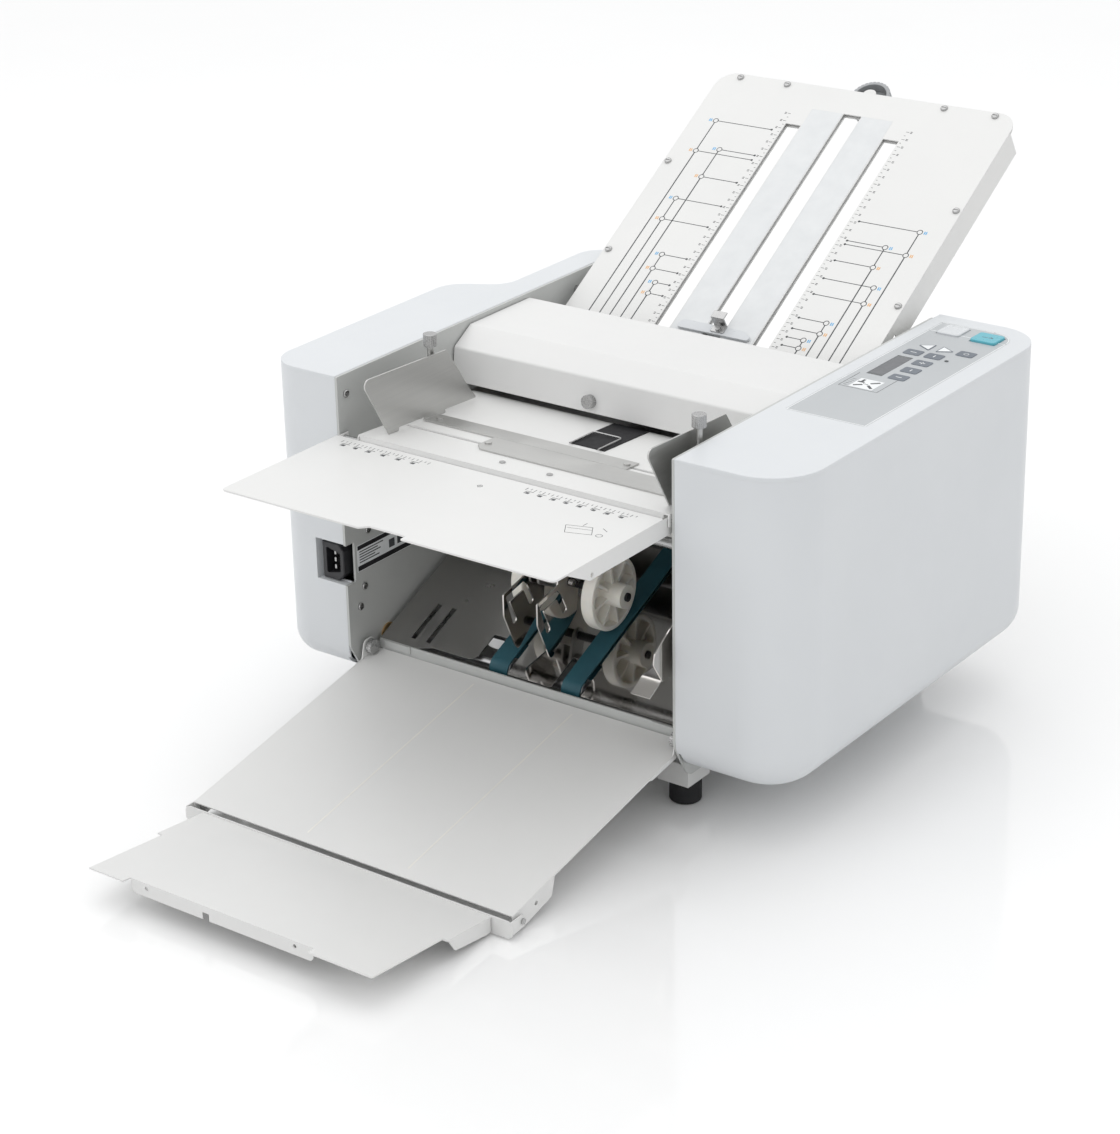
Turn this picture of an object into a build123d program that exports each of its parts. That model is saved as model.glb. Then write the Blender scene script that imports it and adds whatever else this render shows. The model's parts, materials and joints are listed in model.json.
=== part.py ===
"""Desktop paper folding machine, as separate pieces.

Working coordinates, in millimetres: x runs across the machine from its middle, y runs back from
the housing fronts, and z runs up from the housing tops.  save() puts each piece in the machine's
own frame: its origin is on the floor, under the middle of the whole machine, with +Z up.
"""
from build123d import *
import math
import os

# Driving dimensions
HOUSING_LENGTH = 436.0
HOUSING_BOTTOM = -287.0
FLOOR = -340.0
RIGHT_OUTER = 292.0
LEFT_OUTER = -260.0
LEFT_ARM_OUTER = -210.0
INNER = 177.5            # inner face of each side frame
FRAME_SHEET = 2.5
WALL = 3.0               # moulded housing wall
CAP = 4.0                # thickness of the housing lids
SHEET = 1.2              # thin sheet metal
RUNNING = 0.05           # radial clearance of a shaft in its bush
FIT = 0.03               # radial clearance of a fixed pin in its hole

SHAFT_R = 5.0
BUSH_R = 8.0
ROLLER_R = 16.0
ROLLER_HALF = 168.0
GEAR_TEETH = 18
GEAR_MODULE = 1.8
GEAR_PITCH_R = GEAR_TEETH * GEAR_MODULE / 2
CENTRES = 2 * GEAR_PITCH_R

FEED_ROLLER_R = 15.0
FEED_SHAFT = (182.4, -43.6)
ROLLER_2 = (213.5, -77.4)
ROLLER_ANGLES = {"fold_roller_1": 88.2, "fold_roller_3": -3.7, "fold_roller_4": -87.3}

BELT_SLOPE = 24.2
BELT_R = 12.0
BELT_THICK = 1.5
BELT_WIDTH = 20.0
BELT_X = 40.0
FRONT_PULLEY = (53.0, -266.7)
REAR_PULLEY = (240.0, FRONT_PULLEY[1] + 187.0 * math.tan(math.radians(BELT_SLOPE)))
WHEEL_R = 34.6
WHEEL_AXLE = (104.0, -192.0)
WHEEL_X = 38.5
ARM_PIVOT = (83.0, -181.0)

HOOD_HINGE = (276.0, -10.0)
HOOD_TRACE = [(160.3, -51.3), (164.8, -19.8), (189.7, -5.0), (281.0, -4.8)]
HOOD_KNOB_X = -19.9
HOOD_KNOB_Z = -41.0
HOOD_STUD_R = 1.6
FEED_HINGE = (2.5, -56.2)
TABLE_SLOPE = -3.2
DELIVERY_PIVOT = (19.0, -266.0)
DELIVERY_TOP = (12.7, -275.1)      # a point of the delivery tray's upper face
DELIVERY_SLOPE = 46.3 / 234.4
EXTENSION_PIVOT = (-212.7, -328.8)

FOLD_SLOPE = 31.68
FOLD_TOP = (594.6, 141.9)
FOLD_HALF = 167.1
FOLD_GAP = 3.0
FOLD_LENGTH = 390.0
FOLD_SLOTS = [(-63.6, -46.6, 45.0), (-10.0, 10.0, 21.6), (46.1, 63.3, 45.0)]   # x, x, down to its top
FOLD_SLOT_END = 340.0
SKEW_UP = 11.5           # skew knob's axis, up from the fold plate's top
SKEW_STUD_R = 4.0
FOLD = Plane(
    origin=(0, FOLD_TOP[0], FOLD_TOP[1]),
    x_dir=(1, 0, 0),
    z_dir=(0, -math.sin(math.radians(FOLD_SLOPE)), math.cos(math.radians(FOLD_SLOPE))),
)

MOTOR = (300.0, -160.0)
MIDDLE_Y = 132.2          # halfway between the extension's lip and the rear end of the fold plate
FLOOR_FRAME = Location((-(RIGHT_OUTER + LEFT_OUTER) / 2, -MIDDLE_Y, -FLOOR))


# Shape helpers

def save(node, pieces):
    """Write one node, moved to the machine's own frame."""
    if not isinstance(pieces, list):
        pieces = [pieces]
    solids = [solid.moved(FLOOR_FRAME) for piece in pieces for solid in piece.solids()]
    export_step(solids[0] if len(solids) == 1 else Compound(solids), f"parts/{node}.step")


def block(x0, x1, y0, y1, z0, z1):
    return Pos((x0 + x1) / 2, (y0 + y1) / 2, (z0 + z1) / 2) * Box(x1 - x0, y1 - y0, z1 - z0)


def rod_x(x0, x1, centre, radius):
    """Cylinder along x, with its axis at centre = (y, z)."""
    turned = Rot(0, 90, 0) * Cylinder(radius, x1 - x0)
    return Pos((x0 + x1) / 2, centre[0], centre[1]) * turned


def rod_y(y0, y1, x, z, radius):
    return Pos(x, (y0 + y1) / 2, z) * (Rot(90, 0, 0) * Cylinder(radius, y1 - y0))


def rod_z(z0, z1, x, y, radius):
    return Pos(x, y, (z0 + z1) / 2) * Cylinder(radius, z1 - z0)


def outline(points, radius):
    """Closed outline with rounded corners: radius is one value, or one for each corner."""
    return make_face(FilletPolyline(*points, radius=radius, close=True))


def side_plate(points, radius, x0, x1):
    """Plate whose outline is given as (y, z) points, from x0 to x1."""
    return extrude(Plane.YZ.offset(x0) * outline(points, radius), x1 - x0)


def floor_plate(points, radius, z0, z1):
    """Plate whose outline is given as (x, y) points, from z0 to z1."""
    return extrude(Plane.XY.offset(z0) * outline(points, radius), z1 - z0)


def sheet_x(points, x0, x1, thick, bend=2.0):
    """Bent sheet that runs across the machine: points trace one face in (y, z)."""
    trace = bent_line(points, [bend] * (len(points) - 2))
    shifted = shift_points(points, thick)
    other = bent_line(shifted, [turn_radius(points, i, thick, bend) for i in range(1, len(points) - 1)])
    start = Line(trace @ 0, other @ 0)
    end = Line(trace @ 1, other @ 1)
    band = make_face([*trace.edges(), *other.edges(), start.edge(), end.edge()])
    return extrude(Plane.YZ.offset(x0) * upright(band), x1 - x0)


def bent_line(points, radii):
    if len(points) == 2:
        return Line(*points)
    return FilletPolyline(*points, radius=radii)


def upright(face):
    """The same face, with its normal along +Z."""
    return face if face.faces()[0].normal_at().Z > 0 else -face


def right_normal(a, b):
    length = math.dist(a, b)
    return ((b[1] - a[1]) / length, -(b[0] - a[0]) / length)


def turn_radius(points, i, thick, bend):
    """Radius of the parallel corner: larger on the outside of a bend."""
    a, b, c = points[i - 1], points[i], points[i + 1]
    cross = (b[0] - a[0]) * (c[1] - b[1]) - (b[1] - a[1]) * (c[0] - b[0])
    return bend + thick if cross > 0 else max(bend - thick, 0.2)


def shift_points(points, thick):
    """Corners of the parallel polyline, a distance thick to the right."""
    shifted = []
    for i, point in enumerate(points):
        before = right_normal(points[max(i - 1, 0)], points[max(i, 1)])
        after = right_normal(points[min(i, len(points) - 2)], points[min(i + 1, len(points) - 1)])
        scale = thick / (1 + before[0] * after[0] + before[1] * after[1])
        move = [(a + b) * scale for a, b in zip(before, after)]
        shifted.append((point[0] + move[0], point[1] + move[1]))
    return shifted


def loop_outline(first, second, r_first, r_second):
    """Outline of a belt round two pulleys, as a face in (y, z)."""
    angle = math.atan2(second[1] - first[1], second[0] - first[0])
    lean = math.acos((r_first - r_second) / math.dist(first, second))
    ends = []
    for side in (1, -1):
        for centre, radius in ((first, r_first), (second, r_second)):
            turn = angle + side * lean
            ends.append((centre[0] + radius * math.cos(turn), centre[1] + radius * math.sin(turn)))
    back = (first[0] - r_first * math.cos(angle), first[1] - r_first * math.sin(angle))
    front = (second[0] + r_second * math.cos(angle), second[1] + r_second * math.sin(angle))
    return make_face([
        Line(ends[0], ends[1]),
        ThreePointArc(ends[1], front, ends[3]),
        Line(ends[3], ends[2]),
        ThreePointArc(ends[2], back, ends[0]),
    ])


def belt(first, second, r_first, r_second, thick, x0, x1):
    """Flat belt: r_first and r_second are its outer radii."""
    outer = loop_outline(first, second, r_first, r_second)
    inner = loop_outline(first, second, r_first - thick, r_second - thick)
    return extrude(Plane.YZ.offset(x0) * (outer - inner), x1 - x0)


def on_fold_plate(shape):
    """Place a shape drawn with x across, y up the plate and z out of its face."""
    return FOLD.location * shape


def fold_block(x0, x1, down0, down1, n0, n1):
    return block(x0, x1, -down1, -down0, n0, n1)


def span(side, near, far):
    """x limits of something that runs from near to far, on one side."""
    return tuple(sorted((side * near, side * far)))


def roller_centre(name):
    if name == "fold_roller_2":
        return ROLLER_2
    angle = math.radians(ROLLER_ANGLES[name])
    return (ROLLER_2[0] + CENTRES * math.cos(angle), ROLLER_2[1] + CENTRES * math.sin(angle))


# Frame and base

SHAFTS = {name: roller_centre(name) for name in ("fold_roller_2", *ROLLER_ANGLES)}
SHAFTS["feed_roller"] = FEED_SHAFT
SHAFTS["belt_shaft_front"] = FRONT_PULLEY
SHAFTS["belt_shaft_rear"] = REAR_PULLEY
TIES = [(71.0, -112.0), (400.0, -110.0), (330.0, -275.0), (120.0, -275.0)]
TIE_R = 5.0
FOLD_PEGS = [(358.4, -17.9), (281.8, -65.2)]
PEG_R = 4.0
FRAME_SCREWS = [(31.0, -156.0), (23.0, -209.0), (16.0, -227.0)]
FRAME_SCREWS += [(11.0, -18.7), (60.0, -90.0), (150.0, -225.0)]
FRAME_SCREW_R = 1.9
INLET = (-184.0, -209.0, -200.0, -163.0)     # x near, x far, z bottom, z top


def side_frame(side):
    """Steel plate that carries the shafts on one side."""
    profile = [(0, -0.6), (431, -0.6), (431, -298), (20, -298), (0, -262)]
    plate = side_plate(profile, [1.5, 8, 20, 12, 12], *span(side, INNER, INNER + FRAME_SHEET))
    wide = span(side, INNER - 5, INNER + 10)
    for centre in SHAFTS.values():
        plate -= rod_x(*wide, centre, BUSH_R + FIT)
    for centre in (*TIES, *FOLD_PEGS, HOOD_HINGE):
        plate -= rod_x(*wide, centre, 3.0 + FIT)
    for centre in (FEED_HINGE, DELIVERY_PIVOT):
        plate -= rod_x(*wide, centre, 2.0 + FIT)
    for centre in FRAME_SCREWS:
        plate -= rod_x(*wide, centre, FRAME_SCREW_R + FIT)
    if side < 0:
        plate -= block(-190, -170, -1, 12, INLET[2] - 1, INLET[3] + 1)
    return plate


def base_plate():
    """Folded floor plate between the side frames."""
    half = INNER - 0.2
    floor = block(-half, half, 44, 430, -298, -296)
    floor += block(-half, half, 428, 430, -296, -270)
    for x in (-110, 0, 110):
        for y in (150, 260, 370):
            floor -= rod_z(-300, -290, x, y, 22)
    return floor


def foot_bracket(side, y):
    """Folded bracket that carries one foot."""
    x0, x1 = span(side, 138, 170)
    outer = span(side, 168, 170)
    inner = span(side, 138, 140)
    bracket = block(x0, x1, y, y + 34, -319, -317)
    bracket += block(x0, x1, y, y + 2, -317, -298)
    bracket += block(*outer, y, y + 34, -317, -298)
    bracket += block(*inner, y, y + 34, -317, -298)
    return bracket - rod_z(-325, -310, side * 156, y + 17, 2 + FIT)


def rubber_foot(side, y):
    foot = rod_z(FLOOR, -319, side * 156, y, 14.3)
    foot = fillet(foot.edges().filter_by(GeomType.CIRCLE), 2.0)
    return foot + rod_z(-319, -313, side * 156, y, 2)


def front_crossbar():
    """Angled bar in front of the belt pulleys, with a stop plate near each end."""
    bar = sheet_x([(32.5, -263.5), (32.5, -283), (43, -283)], -177.4, 177.4, -1.6)
    for side in (1, -1):
        bar -= block(*span(side, 170.5, 180), 30, 36, -280, -255)
        bar += block(*span(side, 134, 164), 31.3, 32.6, -270.5, -263.5)
    return bar


def frame_rods():
    """Ties, hinge rods, hinge pins and fold plate pegs, all fixed in the side frames."""
    end = INNER + 6
    rods = [rod_x(-INNER, INNER, centre, TIE_R) + rod_x(-end, end, centre, 3.0) for centre in TIES]
    rods.append(rod_x(-end, end, HOOD_HINGE, 3.0))
    rods.append(rod_x(-27, 16, ARM_PIVOT, 3.0))
    rods += [hinge_pin(1, FEED_HINGE, 171.0), hinge_pin(-1, FEED_HINGE, 152.0)]
    return rods + fold_plate_pegs()


def hinge_pin(side, centre, near):
    return rod_x(*span(side, near, INNER + FRAME_SHEET), centre, 2.0)


def frame_screw(side, centre):
    head = rod_x(*span(side, INNER - 2, INNER), centre, 3.6)
    head = fillet(head.edges().filter_by(GeomType.CIRCLE).sort_by(Axis.X)[0 if side > 0 else -1], 1.2)
    head += rod_x(*span(side, INNER, INNER + 5), centre, FRAME_SCREW_R)
    y, z = centre
    return head - block(*span(side, INNER - 3, INNER - 1), y - 3, y + 3, z - 0.4, z + 0.4)


def roller_bearings():
    """Flanged bushes of every shaft, in both side frames."""
    bushes = []
    for name, centre in SHAFTS.items():
        for side in (1, -1):
            bush = rod_x(*span(side, INNER - 1.5, INNER), centre, BUSH_R + 1.5)
            bush += rod_x(*span(side, INNER, INNER + 4), centre, BUSH_R)
            bushes.append(bush - rod_x(*span(side, INNER - 5, INNER + 8), centre, SHAFT_R + RUNNING))
    return bushes


# Housings

RIGHT_PLAN = [(180.1, 0), (RIGHT_OUTER, 0), (RIGHT_OUTER, HOUSING_LENGTH), (180.1, HOUSING_LENGTH)]
RIGHT_RADII = [0, 50, 45, 0]
LEFT_PLAN = [
    (-180.1, 0),
    (-180.1, HOUSING_LENGTH - 2),
    (LEFT_ARM_OUTER, HOUSING_LENGTH - 2),
    (LEFT_ARM_OUTER, 290),
    (LEFT_OUTER, 262),
    (LEFT_OUTER, 0),
]
LEFT_RADII = [0, 0, 27, 28, 30, 32]
BOTTOM_R_RIGHT = 31.0
BOTTOM_R_LEFT = 24.0


def bath(plan, radii, bottom, bottom_r, inset):
    """Plan outline pulled up from a rounded bottom, shrunk by inset."""
    face = outline(plan, radii)
    if inset:
        face = offset(face, -inset, kind=Kind.ARC)
    solid = extrude(Plane.XY.offset(bottom + inset) * face, -CAP - bottom - inset)
    side = 1 if plan[0][0] > 0 else -1
    lower = solid.edges().filter_by_position(Axis.Z, bottom + inset - 0.01, bottom + inset + 0.01)
    inner_x = abs(plan[0][0]) + inset + 0.01
    outside = [edge for edge in lower if side * edge.center().X > inner_x]
    return fillet(outside, bottom_r - inset)


def housing_shell(plan, radii, bottom_r):
    """Moulded housing, open on top and towards its side frame."""
    shell = bath(plan, radii, HOUSING_BOTTOM, bottom_r, 0)
    hollow = bath(plan, radii, HOUSING_BOTTOM, bottom_r, WALL)
    shell -= hollow
    side = 1 if plan[0][0] > 0 else -1
    opening = span(side, 170, 180.1 + WALL + 0.5)
    return shell - block(*opening, WALL, HOUSING_LENGTH - 2 - WALL, HOUSING_BOTTOM + WALL, 5)


def housing_shell_left():
    shell = housing_shell(LEFT_PLAN, LEFT_RADII, BOTTOM_R_LEFT)
    shell -= block(-213, -170, -5, 8, -201, -161)
    pocket = block(-214.5, -180.2, WALL, 10, -202.5, -159.5) - block(-213, -170, -5, 8.5, -201, -161)
    shell += pocket
    return shell - block(INLET[1] - 0.2, -170, 5, 12, INLET[2] - 0.2, INLET[3] - 1)


def housing_top(plan, radii):
    """Lid of a housing, with a softened rim and a locating lip."""
    lid = extrude(outline(plan, radii), -CAP)
    return fillet(lid.faces().sort_by(Axis.Z)[-1].edges(), 0.8)


PANEL_PLAN = [(193, 147), (272, 147), (272, 417), (193, 417)]
PANEL_RADII = [3, 3, 24, 3]
PANEL_THICK = 1.2
START_KEY = (239.0, 264.0, 384.0, 406.5)
STOP_KEY = (203.5, 226.0, 387.0, 411.0)
DISPLAY = (205.0, 220.5, 261.0, 317.0)
KEY_WIDTH = 16.5
KEY_DEPTH = 13.0
KEY_PLACES = [(213, 330), (234, 330), (234, 308.5), (255, 350), (235, 287), (235, 266)]
LAMP = (249.0, 325.0)
LAMP_R = 1.8


def housing_top_right():
    lid = housing_top(RIGHT_PLAN, RIGHT_RADII)
    lid -= floor_plate(PANEL_PLAN, PANEL_RADII, -PANEL_THICK, 1)
    for key in (START_KEY, STOP_KEY):
        lid -= key_opening(key)
    return lid


def key_opening(key):
    x0, x1, y0, y1 = key
    return block(x0 - 0.4, x1 + 0.4, y0 - 0.4, y1 + 0.4, -CAP - 1, 2)


def control_panel():
    """Panel plate, let into the right lid."""
    panel = floor_plate(PANEL_PLAN, PANEL_RADII, -PANEL_THICK, 0)
    panel -= block(*DISPLAY, -2, 1)
    panel -= rod_z(-2, 1, *LAMP, LAMP_R + FIT)
    for key in (START_KEY, STOP_KEY):
        panel -= key_opening(key)
    return panel


def push_key(key, height):
    """Key cap with its skirt and the flange that holds it under the lid."""
    x0, x1, y0, y1 = key
    corners = [(x0, y0), (x1, y0), (x1, y1), (x0, y1)]
    body = floor_plate(corners, 3, -6, height)
    body = fillet(body.faces().sort_by(Axis.Z)[-1].edges(), 0.6)
    body += block(x0 - 2, x1 + 2, y0 - 2, y1 + 2, -6, -4.6)
    return body - block(x0 + 1.5, x1 - 1.5, y0 + 1.5, y1 - 1.5, -7, height - 1.5)


def display_window():
    """Clear display window and the status lamp's lens."""
    window = block(*DISPLAY, -PANEL_THICK, -0.2)
    return [window, rod_z(-PANEL_THICK, 0.6, *LAMP, LAMP_R)]


def membrane_key(x, y):
    x0, x1 = x - KEY_WIDTH / 2, x + KEY_WIDTH / 2
    y0, y1 = y - KEY_DEPTH / 2, y + KEY_DEPTH / 2
    return floor_plate([(x0, y0), (x1, y0), (x1, y1), (x0, y1)], 2.0, 0, 0.4)


def membrane_keys():
    """Raised key fields of the membrane, which don't travel, and its two arrow keys."""
    left = floor_plate([(207.5, 349.5), (221.3, 341.5), (221.3, 357.5)], 0.6, 0, 0.4)
    right = floor_plate([(242.5, 349.5), (228.5, 357.5), (228.5, 341.5)], 0.6, 0, 0.4)
    return [*(membrane_key(x, y) for x, y in KEY_PLACES), left, right]


def circuit_board():
    """Control board under the panel, with its parts and its spacers."""
    board = block(192, 278, 160, 405, -16.6, -15)
    for x in (198, 270):
        for y in (168, 370):
            board += rod_z(-15, -CAP, x, y, 3)
    parts = [(205, 220, 270, 300, -7), (230, 262, 200, 232, -12), (240, 268, 250, 262, -9)]
    for x0, x1, y0, y1, top in parts:
        board += block(x0, x1, y0, y1, -15, top)
    for key in (START_KEY, STOP_KEY):
        x = (key[0] + key[1]) / 2
        y = (key[2] + key[3]) / 2
        board += block(x - 3, x + 3, y - 3, y + 3, -15, -7.5)
    return board


def power_inlet():
    """Mains inlet: a portrait socket body with two cut corners and a chamfered frame."""
    near, far, bottom, top = INLET
    shoulder = near - 6
    crown = top - 1.2
    plan = [(far, bottom), (shoulder, bottom), (near, bottom + 7), (near, top - 8)]
    plan += [(shoulder, crown), (far, crown)]
    body = extrude(Plane.XZ.offset(-26) * outline(plan, 1), 22.5)
    front = body.faces().sort_by(Axis.Y)[0]
    body = chamfer(front.edges(), 0.8)
    socket = [(near - 4, bottom + 9), (near - 20, bottom + 5), (near - 20, top - 6), (near - 4, top - 10)]
    cut = extrude(Plane.XZ.offset(-17) * outline(socket, 1.5), 20)
    return body - cut


def inlet_pins():
    near, far, bottom, top = INLET
    x = (near + far) / 2
    z = (bottom + top) / 2
    return [block(x - 1, x + 1, 7, 17, z + dz - 2, z + dz + 2) for dz in (-7, 0, 7)]


def power_supply():
    """Mains supply in the left housing, with its vents."""
    case = block(-248, -186, 60, 210, -268, -205)
    for i in range(8):
        case -= block(-250, -240, 78 + 15 * i, 84 + 15 * i, -255, -220)
    return case


# Feed

def hood_cover():
    """Bent cover over the feed roller, with two hinge barrels."""
    cover = sheet_x(HOOD_TRACE, -176, 176, 3.0, 3.2)
    for side in (1, -1):
        near, far = span(side, 120, 174)
        barrel = rod_x(near, far, HOOD_HINGE, 5.0)
        barrel += block(near, far, 271, 281, -9, -7.4)
        cover += barrel
    cover -= rod_x(-180, 180, HOOD_HINGE, 3.0 + RUNNING)
    return cover - hood_knob_rod(-10, 10, HOOD_STUD_R + FIT)


def hood_knob_place():
    """Where the knob's axis meets the hood's front face, with +Z out of the face."""
    (y0, z0), (y1, z1) = HOOD_TRACE[:2]
    lean = math.degrees(math.atan2(y1 - y0, z1 - z0))
    y = y0 + (HOOD_KNOB_Z - z0) * (y1 - y0) / (z1 - z0)
    return Pos(HOOD_KNOB_X, y, HOOD_KNOB_Z) * Rot(90 - lean, 0, 0)


def hood_knob_rod(start, end, radius):
    """Cylinder on the knob's axis, measured outwards from the hood's front face."""
    return hood_knob_place() * Pos(0, 0, (start + end) / 2) * Cylinder(radius, end - start)


def hood_knob():
    """Fluted turning knob on the hood's front face."""
    radius = 6.3
    flutes = 20
    knob = hood_knob_rod(0.1, 6.1, radius)
    for i in range(flutes):
        turned = hood_knob_place() * Rot(0, 0, i * 360 / flutes)
        knob -= turned * Pos(radius + 0.2, 0, 2.6) * Cylinder(0.5, 3.6)
    return knob + hood_knob_rod(-5.9, 0.1, HOOD_STUD_R)


def feed_tray():
    """Front paper tray: a flat sheet with a notched front edge and side flanges."""
    notch = [(-24.6, -158), (-18, -151), (20, -151), (20, -158)]
    plan = [(-175, -6), (-175, -158), *notch, (174, -158), (174, -6)]
    tray = floor_plate(plan, [3, 5, 1, 1, 0.5, 0.5, 5, 3], -53.5, -52)
    for side in (1, -1):
        outer = 174 if side > 0 else 175
        flange = [(-141, -53.5), (-137, -53), (8, -53), (8, -64), (4, -68.5), (-111, -68.5)]
        piece = side_plate(flange, [1, 0, 0, 3, 3, 3], *span(side, outer - SHEET, outer))
        piece -= rod_x(*span(side, 160, 180), (-107.6, -64.6), 2.0)
        piece -= rod_x(*span(side, 160, 180), FEED_HINGE, 2.0 + RUNNING)
        tray += piece
    return tray


def table_height(y):
    return -49.3 + y * math.tan(math.radians(TABLE_SLOPE))


TABLE = Plane(
    origin=(0, 0, table_height(0)),
    x_dir=(1, 0, 0),
    z_dir=(0, -math.sin(math.radians(TABLE_SLOPE)), math.cos(math.radians(TABLE_SLOPE))),
)


def on_table(shape):
    """Place a shape drawn with x across, y back along the table and z up from its top."""
    return TABLE.location * shape


STRIP_F_SCREWS = (-48.0, 150.0)
STRIP_R_SCREWS = (-124.0, 80.0)
SLOT_F = 47.5
SLOT_R = 75.5
LEFT_ROD = (-142.0, 88.0)
RIGHT_ROD = (171.0, 50.0)


def feed_table():
    """Paper table that tips down at the rear, with the two guide slots."""
    table = block(-155, 176, -1, 165, -1.5, 0)
    table += block(-153, 170, -1, 0.2, -5, -1.4)
    table -= block(-138, 157, SLOT_F - 2, SLOT_F + 2, -3, 1)
    table -= block(-140, 168, SLOT_R - 2, SLOT_R + 2, -3, 1)
    for x, y in ((-10, 18), (41, 17)):
        table -= rod_z(-3, 1, x, y, 1.5 + FIT)
    table = on_table(table)
    for x0, x1 in ((-155, -153.8), (174.8, 176)):
        ear = side_plate([(-2.0, -50), (40, -53), (12, -61), (-2.0, -61)], 1.5, x0, x1)
        table += ear - rod_x(x0 - 1, x1 + 1, FEED_HINGE, 2.0 + RUNNING)
    return table


def table_screws():
    screws = []
    for x, y in ((-10, 18), (41, 17)):
        head = rod_z(0, 1.0, x, y, 2.8)
        screws.append(on_table(head + rod_z(-4, 0, x, y, 1.5)))
    return screws


def separator_pad():
    """Rubber pad that the feed roller presses the sheets against."""
    return on_table(block(4, 42, 96, 164, 0, 0.9))


def separator_spring():
    """Bent wire that holds the pad's front edge."""
    path = FilletPolyline((8, 92, 1.0), (8, 128, 1.9), (38, 128, 1.9), (38, 92, 1.0), radius=3)
    wire = sweep(Plane(path @ 0, z_dir=path % 0) * Circle(0.8), path=path)
    return on_table(Pos(0, 0, 1.2) * wire)


LIFT = 3.6


def guide_plate(x, strip_from, strip_to):
    """Upright guide: its foot reaches down to its own strip only."""
    under_tab = table_height(16) + 0.4
    profile = [
        (-18, 9),
        (101, 4),
        (131, -41),
        (141.5, table_height(141.5) + LIFT),
        (strip_to, table_height(strip_to) + LIFT),
        (strip_to, table_height(strip_to) + 0.3),
        (strip_from, table_height(strip_from) + 0.3),
        (strip_from, table_height(strip_from) + LIFT),
        (30, table_height(30) + LIFT),
        (30, table_height(30) + 0.4),
        (16, under_tab),
    ]
    radii = [6, 3, 8, 1, 0.3, 0, 0, 0.3, 0.3, 1, 1.5]
    return side_plate(profile, radii, x - 0.75, x + 0.75)


def guide_left():
    """Left paper guide, with the rear strip."""
    plate = guide_plate(-134.5, 66, 95)
    strip = block(-135, 85.5, 65.3, 86, 0.1, 1.6)
    strip += block(-149, -134.5, 78, 97, 0.1, 1.6)
    for x in STRIP_R_SCREWS:
        strip -= rod_z(-1, 3, x, SLOT_R, 1.5 + FIT)
    rod = rod_z(-51, 20, *LEFT_ROD, 3.0)
    return plate + on_table(strip) + rod


def guide_right():
    """Right paper guide, with the front strip."""
    plate = guide_plate(163.5, 34, 64)
    corners = [(-54, 41), (-46, 32.5), (164, 32.5), (164, 64.9), (-54, 64.9)]
    strip = floor_plate(corners, [2, 2, 0, 0, 0], 0.1, 1.6)
    strip += block(163, 173.4, 42, 58, 0.1, 1.6)
    for x in STRIP_F_SCREWS:
        strip -= rod_z(-1, 3, x, SLOT_F, 1.5 + FIT)
    rod = rod_z(-50.5, 20, *RIGHT_ROD, 3.0)
    return plate + on_table(strip) + rod


def strip_screws(xs, y):
    """Pan-head screws that run in a slot of the table."""
    screws = []
    for x in xs:
        head = rod_z(1.6, 3.0, x, y, 3.1)
        screws.append(on_table(head + rod_z(-4, 1.6, x, y, 1.5)))
    return screws


def clamp_knob(place):
    """Knurled clamp knob on top of a guide's rod."""
    x, y = place
    knob = rod_z(10, 21.5, x, y, 6.25)
    knob = fillet(knob.edges().filter_by(GeomType.CIRCLE), 0.6)
    for i in range(20):
        turn = math.radians(i * 18)
        knob -= rod_z(11, 20.5, x + 6.5 * math.cos(turn), y + 6.5 * math.sin(turn), 0.55)
    return knob - rod_z(9, 20.0 + RUNNING, x, y, 3.0 + RUNNING)


def paper_bridge():
    """Fixed plate that leads the sheet from the table to the first nip."""
    return sheet_x([(167, -62.5), (199, -61.4)], -165, 165, SHEET)


def feed_roller():
    """Feed shaft with its rubber-tyred roller's hub and drive pulley."""
    shaft = rod_x(-184, 209, FEED_SHAFT, SHAFT_R)
    shaft += rod_x(6, 44, FEED_SHAFT, 11)
    return shaft + rod_x(200, 208, FEED_SHAFT, 9 - RUNNING)


def feed_tyre():
    tyre = rod_x(7, 43, FEED_SHAFT, FEED_ROLLER_R)
    core = rod_x(0, 60, FEED_SHAFT, FEED_ROLLER_R - 1)
    for i in range(5):
        tyre -= rod_x(12 + 6 * i, 13.5 + 6 * i, FEED_SHAFT, 20) - core
    return tyre - rod_x(0, 60, FEED_SHAFT, 11)


# Folding

def gear(centre, phase, x0, x1):
    """Spur gear with straight-sided teeth and generous backlash."""
    pitch = 360 / GEAR_TEETH
    tip_r = GEAR_PITCH_R + 0.75 * GEAR_MODULE
    root_r = GEAR_PITCH_R - 1.15 * GEAR_MODULE
    body = rod_x(x0, x1, centre, root_r)
    for i in range(GEAR_TEETH):
        middle = phase + i * pitch
        corners = []
        for radius, part in ((root_r - 0.6, -0.24), (tip_r, -0.1), (tip_r, 0.1), (root_r - 0.6, 0.24)):
            turn = math.radians(middle + part * pitch)
            corners.append((centre[0] + radius * math.cos(turn), centre[1] + radius * math.sin(turn)))
        tooth = make_face(Polyline(*corners, close=True))
        body += extrude(Plane.YZ.offset(x0) * tooth, x1 - x0)
    return body


def mesh_phase(angle):
    """Tooth position of a gear that meshes with roller 2's gear, seen at this angle from it."""
    return 2 * angle + 180 - 180 / GEAR_TEETH


def roller_reach(name):
    return 222.0 if name == "fold_roller_2" else 209.0


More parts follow.
